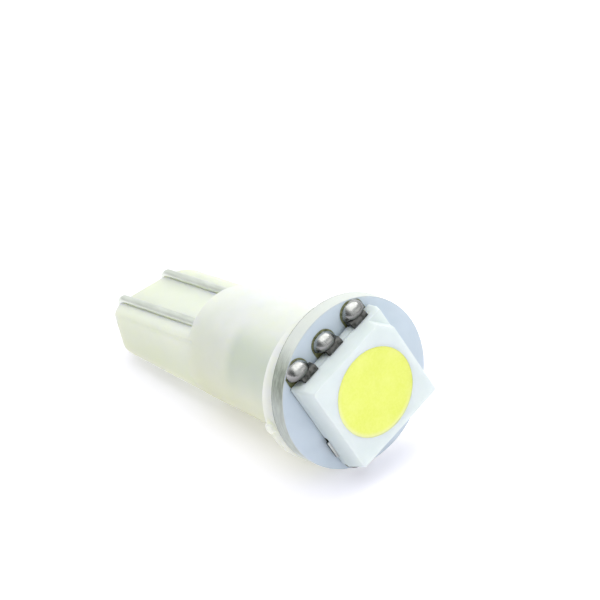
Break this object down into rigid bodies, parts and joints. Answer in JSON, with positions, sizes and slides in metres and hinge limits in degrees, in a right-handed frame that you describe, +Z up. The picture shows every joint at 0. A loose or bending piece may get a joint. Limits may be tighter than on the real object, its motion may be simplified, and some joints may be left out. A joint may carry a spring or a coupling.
{
  "type": "wedge base led bulb",
  "caption": "Small wedge base indicator bulb: a square surface-mount LED on a round board, glued to a hollow translucent base with a flat wedge and bent contact wires.",
  "frame": {"origin": "centre of the bounding box's bottom face, on the surface that the bulb lies on", "axes": "+X along the bulb's length towards the light, +Z up, +Y across the wedge; the base's own axis is raised 7.72 degrees from +X and the base is rolled 4.0 degrees about it, as the bulb lies on its barrel's rear edge and its flange's rim"},
  "size_m": [0.0168, 0.0078, 0.0076],
  "materials": {
    "nylon_base": "satin",
    "board_laminate": "satin",
    "package_plastic": "matte",
    "phosphor_gel": "satin",
    "chip": "polished",
    "lead_frame": "satin",
    "solder": "polished",
    "board_pad": "satin",
    "tinned_wire": "satin",
    "resistor_coat": "gloss"
  },
  "bodies": {
    "root": {"base_moulding": "nylon_base", "circuit_board": "board_laminate", "contact_wire_left": "tinned_wire", "contact_wire_right": "tinned_wire", "front_pad_1": "board_pad", "front_pad_2": "board_pad", "front_pad_3": "board_pad", "front_pad_4": "board_pad", "front_pad_5": "board_pad", "front_pad_6": "board_pad", "front_solder_1": "solder", "front_solder_2": "solder", "front_solder_3": "solder", "front_solder_4": "solder", "front_solder_5": "solder", "front_solder_6": "solder", "led_body": "package_plastic", "led_chip_1": "chip", "led_chip_2": "chip", "led_chip_3": "chip", "led_lead_1": "lead_frame", "led_lead_2": "lead_frame", "led_lead_3": "lead_frame", "led_lead_4": "lead_frame", "led_lead_5": "lead_frame", "led_lead_6": "lead_frame", "phosphor_fill": "phosphor_gel", "rear_pad_left": "board_pad", "rear_pad_right": "board_pad", "rear_solder_left": "solder", "rear_solder_right": "solder", "resistor_body": "resistor_coat", "resistor_lead": "tinned_wire", "tie_bar_back": "lead_frame", "tie_bar_front": "lead_frame"}
  },
  "joints": []
}
